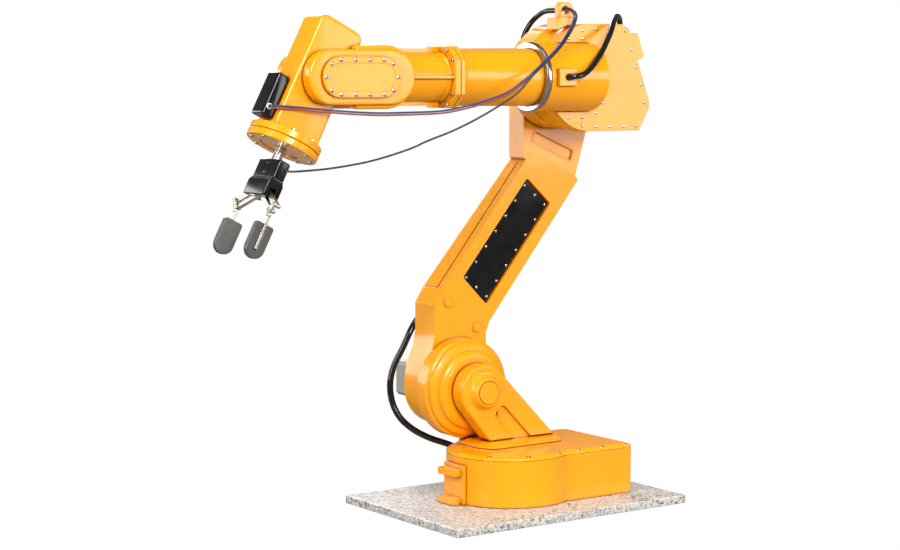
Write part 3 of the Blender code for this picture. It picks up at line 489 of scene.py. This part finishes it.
def dress(names, look, width=0.0):
    """Gives CAD nodes a surface, softened edges and even shading."""
    soften_from, split_from = math.radians(32), math.radians(36)
    for name in names.split():
        ob = frame["nodes"][name]
        mesh = ob.data
        if "custom_normal" in mesh.attributes:
            mesh.attributes.remove(mesh.attributes["custom_normal"])
        mesh.shade_smooth()
        mesh.materials.clear()
        mesh.materials.append(look)
        weld = ob.modifiers.new("weld", "WELD")
        weld.merge_threshold = 0.00001
        if width:
            soft = ob.modifiers.new("soft_edge", "BEVEL")
            soft.width = width * MM
            soft.segments = 2
            soft.limit_method = "ANGLE"
            soft.angle_limit = soften_from
            soft.use_clamp_overlap = False
        split = ob.modifiers.new("sharp", "EDGE_SPLIT")
        split.split_angle = split_from
        even = ob.modifiers.new("even", "WEIGHTED_NORMAL")
        even.keep_sharp = True


dress("base_plate", GRANITE, 0.5)
dress("base_housing base_lid front_bracket turret_foot turret_leg upper_arm", PAINT, 0.4)
dress("hub_cap turret_drum elbow_casting cheek_plate cable_lug hose_clip", PAINT, 0.3)
dress("forearm_tube wrist_fork", PAINT, 0.3)
dress("wrist_cover_near wrist_cover_far hand_box hand_cap", PAINT, 0.3)
dress("arm_cover sensor_box gripper_upper gripper_lower", COVER, 0.3)
dress("yaw_motor shoulder_motor roll_motor wrist_motor tool_motor grip_motor", MOTOR, 0.4)
dress("yaw_gearbox yaw_bearing shoulder_gearbox shoulder_shaft", STEEL, 0.3)
dress("shoulder_bearing elbow_shaft", STEEL, 0.3)
dress("roll_ring", RING, 0.3)
dress("roll_bearing pitch_shaft tool_shaft", STEEL)
dress("link_near_a link_near_b link_far_a link_far_b finger_near finger_far", LINKS, 0.25)
dress("elbow_gear", BRASS, 0.3)
dress("base_gland arm_gland", GLAND, 0.3)
dress("wrist_belt", BELT)
dress("pad_back_near pad_back_far", PAD_BACK, 0.3)
dress("pad_face_near pad_face_far", PAD, 0.3)


# ----------------------------------------------------- screws and rivets

SCREW_SMOOTH = 40


def frame_of(normal, roll=0.0):
    """Rotation that takes +Z to the normal."""
    turn = Vector(normal).normalized().to_track_quat("Z", "Y").to_matrix().to_4x4()
    return turn @ Matrix.Rotation(roll, 4, "Z")


def spin(bm, at, normal, rings, roll=0.0, sides=24):
    """A turned shape: rings of (radius, height, hexagonal) from the seat up, closed on the axis."""
    turn = Matrix.Translation(Vector(at) * MM) @ frame_of(normal, roll)
    loops = []
    for radius, height, hexed in rings:
        loop = []
        for k in range(sides):
            a = 2 * math.pi * k / sides
            r = radius
            if hexed:
                off = (a + math.pi / 6) % (math.pi / 3) - math.pi / 6
                r = radius * math.cos(math.pi / 6) / math.cos(off)
            corner = Vector((r * math.cos(a), r * math.sin(a), height)) * MM
            loop.append(bm.verts.new(turn @ corner))
        loops.append(loop)
    skin(bm, loops)


def dome_screw(bm, at, normal, r, roll=0.0):
    """Round head with a hexagonal socket."""
    h = r * 0.62
    spin(bm, at, normal, [(r * 0.98, -0.3, False), (r, 0.12 * h, False),
                          (r * 0.93, 0.5 * h, False), (r * 0.76, 0.82 * h, False),
                          (r * 0.56, 0.98 * h, False), (r * 0.46, h, True),
                          (r * 0.42, 0.94 * h, True), (r * 0.40, 0.35 * h, True)], roll)


def rivet(bm, at, normal, r, roll=0.0):
    """Plain domed head."""
    h = r * 0.55
    spin(bm, at, normal, [(r, -0.2, False), (r, 0.1 * h, False), (r * 0.9, 0.5 * h, False),
                          (r * 0.68, 0.82 * h, False), (r * 0.38, 0.97 * h, False),
                          (r * 0.1, h, False)], roll, 16)


def cap_screw(bm, at, normal, r, roll=0.0):
    """Cylinder head with a hexagonal socket."""
    spin(bm, at, normal, [(r, -0.3, False), (r, r * 0.86, False), (r * 0.9, r, False),
                          (r * 0.6, r, False), (r * 0.55, r * 0.97, True),
                          (r * 0.52, r * 0.35, True)], roll)


def hex_nut(bm, at, normal, r, roll=0.0):
    """Hexagon nut with a chamfer and a bit of thread standing out."""
    h = r * 0.8
    spin(bm, at, normal, [(r, -0.2, True), (r, h * 0.8, True), (r * 0.86, h, False),
                          (r * 0.52, h, False), (r * 0.5, h * 1.35, False),
                          (r * 0.4, h * 1.45, False)], roll)


def fasteners(name, kind, spots, normal, r, look, body):
    """All the screws of one row as one piece that rides a body, each turned a little further."""
    bm = bmesh.new()
    for i, at in enumerate(spots):
        kind(bm, at, normal, r, 0.7 * i)
    ob = piece(name, bm, look, SCREW_SMOOTH)
    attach(ob, body)


def along(a, b, count):
    """Evenly spaced places from a to b, both ends in."""
    a, b = Vector(a), Vector(b)
    return [a.lerp(b, i / (count - 1)) for i in range(count)]


def polar(r, angles):
    """Offsets from the middle of a circle, one for each angle in degrees."""
    return [(r * math.cos(math.radians(a)), r * math.sin(math.radians(a))) for a in angles]


def build_lid_screws():
    """Screws on the lid's sloping rim: round the front, along both sides and across the back."""
    low, high = (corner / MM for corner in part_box("base_lid"))
    rim_drop, front_inset, back_inset, side = 2.2, 5.5, 5.2, 62.3
    seat = high.z - rim_drop
    first, sweep = -120, 232
    angles = [first + sweep * i / 6 for i in range(7)]
    spots = [Vector((x, y, seat)) for x, y in polar(high.x - front_inset, angles)]
    for x in (-59, -95.5, -132):
        spots += [Vector((x, side, seat)), Vector((x, -side, seat))]
    spots += [Vector((low.x + back_inset, y, seat)) for y in (-38, 0, 38)]
    fasteners("lid_screws", dome_screw, spots, (0, 0, 1), 2.5, BRIGHT, "base")


def build_cover_screws():
    """Two rows of seven along the black cover and one screw in the middle of each end."""
    a, b, c, d = (-76.9, 384.7), (-108.3, 359.7), (-17.8, 248.2), (13.4, 273.5)
    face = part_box("arm_cover")[1].y / MM
    a, b, c, d = (Vector((x, face, z)) for x, z in (a, b, c, d))
    spots = along(a, d, 7) + along(b, c, 7) + [a.lerp(b, 0.5), d.lerp(c, 0.5)]
    fasteners("cover_screws", dome_screw, spots, SIDE, 2.05, BRIGHT, "upper_arm_body")


def build_cheek_rivets():
    """Rivets round the edge of the elbow's side plate."""
    spots = [(-112, 577.3), (-134, 578.8), (-180.5, 577.5), (-90, 567.5), (-112, 567.4),
             (-189.8, 554.9), (-197.2, 532.9), (-206.2, 510.6), (-212.5, 488.5), (-198, 459.3),
             (-178.5, 458.6), (-156, 458.9), (-134, 459.2), (-112, 460.7), (-90, 471),
             (-112, 470.8), (-134, 476.1), (-143.7, 488.6)]
    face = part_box("cheek_plate")[1].y / MM
    fasteners("cheek_rivets", rivet, [Vector((x, face, z)) for x, z in spots], SIDE, 2.35, BRIGHT,
              "elbow")


def build_clip_screws():
    """Two small screws at the rear edge of the hose clip."""
    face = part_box("hose_clip")[1].y / MM
    spots = [Vector((-63.6, face, z)) for z in (512.6, 527.4)]
    fasteners("clip_screws", rivet, spots, SIDE, 1.4, BRIGHT, "elbow")


def build_wrist_screws():
    """Fourteen screws round each oval cover: four above, four below, three round each end."""
    inset = 3.9
    for name, sign in (("near", 1), ("far", -1)):
        low, high = (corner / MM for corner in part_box("wrist_cover_" + name))
        face = high.y if sign > 0 else low.y
        half = (high.z - low.z) / 2 - inset
        left = low.x + inset + half
        right = high.x - inset - half
        row = (left, left + (right - left) / 3, left + (right - left) * 2 / 3, right)
        spots = [Vector((x, face, ROLL.z + z)) for z in (half, -half) for x in row]
        for centre, angles in ((left, (130, 180, 230)), (right, (50, 0, -50))):
            spots += [Vector((centre + x, face, ROLL.z + z)) for x, z in polar(half, angles)]
        fasteners("wrist_screws_" + name, dome_screw, spots, (0, sign, 0), 2.6, BRIGHT, "forearm")


def build_flange_bolts():
    """Bolts on the front and nuts on the back of the forearm's octagonal flanges."""
    front, back = 104.0, 90.0
    spots = [(sy * y, sz * z) for y, z in ((18.5, 31.5), (30.5, 20.0))
             for sy in (1, -1) for sz in (1, -1)]
    fasteners("flange_bolts", cap_screw, [Vector((front, y, ROLL.z + z)) for y, z in spots],
              (1, 0, 0), 2.3, STEEL, "forearm")
    fasteners("flange_nuts", hex_nut, [Vector((back, y, ROLL.z + z)) for y, z in spots],
              (-1, 0, 0), 2.6, STEEL, "forearm")


def build_hand_bolts():
    """Screws under the hand's round flange, and nuts on top where the hand leaves room."""
    circle, underside, top, hand_half = 36, 92.0, 75.0, 24
    angles = [22.5 + 45 * i for i in range(8)]
    spots = [(TOOL_U + u, y) for u, y in polar(circle, angles)]
    fasteners("cap_screws", dome_screw, [hand(u, y, underside) for u, y in spots], DOWN, 2.9,
              BRIGHT, "hand")
    clear = [(u, y) for u, y in spots if abs(y) > hand_half]
    fasteners("cap_nuts", hex_nut, [hand(u, y, top) for u, y in clear], -DOWN, 2.6, STEEL, "hand")


def build_link_bolts():
    """Round bolt heads on the pivots of the gripper's links."""
    reach, turn, pivot_step = 36.0, math.radians(27), 6.5
    link_face, finger_face = 2.2, 5.1
    for side, sign in (("near", 1), ("far", -1)):
        for tag in ("a", "b"):
            start = pivot("link_%s_%s_turn" % (side, tag))
            far = start + SIDE * sign * reach * math.cos(turn) + DOWN * reach * math.sin(turn)
            fasteners("link_knob_%s_%s" % (side, tag), cap_screw, [far - ACROSS * link_face],
                      -ACROSS, 1.9, LINKS, "link_%s_%s_body" % (side, tag))
        heads = [pivot("finger_%s_turn" % side)]
        heads.append(heads[0] + SIDE * sign * pivot_step - DOWN * pivot_step)
        fasteners("finger_knobs_" + side, dome_screw, [p + ACROSS * finger_face for p in heads],
                  ACROSS, 2.0, BRIGHT, "finger_%s_body" % side)


def ring_piece(name, at, normal, outer, inner, height, look, body):
    """A small turned collar round a socket."""
    bm = bmesh.new()
    spin(bm, at, normal, [(outer, -0.3, False), (outer, height * 0.8, False),
                          (outer * 0.94, height, False), (inner * 1.05, height, False),
                          (inner, height * 0.9, False), (inner, -0.2, False)], 0, 32)
    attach(piece(name, bm, look, SCREW_SMOOTH), body)


def build_sockets():
    """Collars where the leads end, and the round mark on the gripper."""
    ring_piece("sensor_socket", Vector((339.2, 13.0, 488.2)), SIDE, 3.6, 2.3, 1.2, BRIGHT, "hand")
    ring_piece("gripper_socket", hand(2.0, 22.5, 117.5), SIDE, 2.6, 1.5, 1.0, GLAND, "tool")
    ring_piece("gripper_mark", hand(12.0, 0, 118.0), ACROSS, 6.4, 5.4, 0.4, COVER, "tool")


def build_label_frame():
    """A low raised rim round the empty label field of the upper arm."""
    lengthwise = Vector((60.2, 0, 25.5)).normalized()
    crosswise = Vector((-lengthwise.z, 0, lengthwise.x))
    centre = Vector((-118.0, -66.7, 433.8))
    half_length, half_width = 32.8, 6.3
    bm = bmesh.new()
    loops = []
    for grow, height in ((2.0, -0.3), (2.0, 0.55), (1.7, 0.8), (0.5, 0.8), (0.2, 0.55),
                         (0.2, -0.3)):
        a, b = half_length + grow, half_width + grow
        corners = [centre + lengthwise * a * i + crosswise * b * k + SIDE * height
                   for i, k in ((1, 1), (-1, 1), (-1, -1), (1, -1))]
        loops.append([bm.verts.new(corner * MM) for corner in corners])
    skin(bm, loops + loops[:1], ends=False)
    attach(piece("label_frame", bm, PAINT), "upper_arm_body")


build_lid_screws()
build_label_frame()
build_cover_screws()
build_cheek_rivets()
build_clip_screws()
build_wrist_screws()
build_flange_bolts()
build_hand_bolts()
build_link_bolts()
build_sockets()


# ---------------------------------------------------------------- studio

def area_light(name, place, aim, size, power):
    """A white softbox that faces the aim."""
    data = bpy.data.lights.new(name, "AREA")
    data.shape = "RECTANGLE"
    data.size = size[0]
    data.size_y = size[1]
    data.energy = power
    light = bpy.data.objects.new(name, data)
    light.location = place
    light.rotation_euler = (Vector(place) - Vector(aim)).to_track_quat("Z", "Y").to_euler()
    bpy.context.scene.collection.objects.link(light)


def build_floor():
    """A wide level sheet under the part."""
    bm = bmesh.new()
    bmesh.ops.create_grid(bm, x_segments=2, y_segments=2, size=20)
    piece("studio_floor", bm, floor_look())


def build_world():
    """White as seen, but only a soft light on the part."""
    light_strength, seen_strength = 0.20, 1.0
    world = bpy.data.worlds.new("studio")
    world.use_nodes = True
    tree = world.node_tree
    sky = tree.nodes["Background"]
    sky.inputs["Color"].default_value = (1.0, 1.0, 1.0, 1)
    seen = tree.nodes.new("ShaderNodeMapRange")
    seen.inputs["To Min"].default_value = light_strength
    seen.inputs["To Max"].default_value = seen_strength
    ray = tree.nodes.new("ShaderNodeLightPath")
    tree.links.new(ray.outputs["Is Camera Ray"], seen.inputs["Value"])
    tree.links.new(seen.outputs["Result"], sky.inputs["Strength"])
    bpy.context.scene.world = world
    bpy.context.scene.view_settings.view_transform = "Standard"


def build_lights():
    """A wide soft light from above and five softboxes round the part."""
    sun = bpy.data.lights.new("high_light", "SUN")
    sun.energy = 1.65
    sun.angle = math.radians(40)
    high = bpy.data.objects.new("high_light", sun)
    high.rotation_euler = (math.radians(-14), math.radians(10), 0)
    bpy.context.scene.collection.objects.link(high)
    target = (0.05, 0.0, 0.3)
    area_light("key_light", (0.5, 2.1, 1.2), target, (0.7, 0.7), 40)
    area_light("front_light", (2.0, 0.5, 1.0), target, (0.6, 1.2), 25)
    area_light("side_box_right", (-1.35, 1.75, 0.72), (-0.05, 0.0, 0.5), (1.1, 0.8), 18)
    area_light("side_box_left", (1.3, -1.65, 0.7), (0.0, 0.0, 0.5), (0.9, 0.9), 14)
    area_light("back_light", (-0.6, -2.0, 1.3), target, (1.0, 1.0), 24)


build_floor()
build_world()
build_lights()
